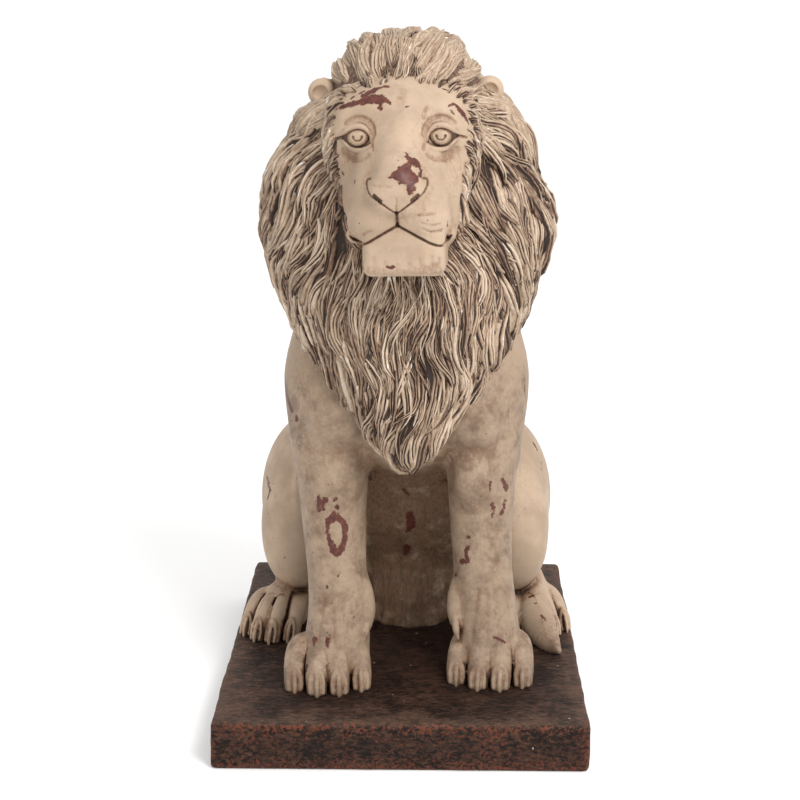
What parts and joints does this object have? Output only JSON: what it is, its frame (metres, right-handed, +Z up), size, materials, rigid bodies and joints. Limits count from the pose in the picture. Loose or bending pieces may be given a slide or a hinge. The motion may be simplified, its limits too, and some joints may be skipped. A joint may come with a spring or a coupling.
{
  "type": "seated lion statue",
  "caption": "Seated lion cast as a garden and hall statue, with a full carved mane, its head turned slightly, on a low rectangular plinth.",
  "frame": {"origin": "middle of the plinth's flat underside", "axes": "+Z up, the lion faces -Y, its left side towards +X"},
  "size_m": [0.32, 0.4, 0.6049],
  "materials": {
    "lion_paint": "distressed cream paint over red-brown, with a dark wash in the carving",
    "plinth_paint": "worn dark brown paint, rough as cast"
  },
  "bodies": {
    "root": {"lion": "lion_paint", "plinth": "plinth_paint"}
  },
  "joints": []
}
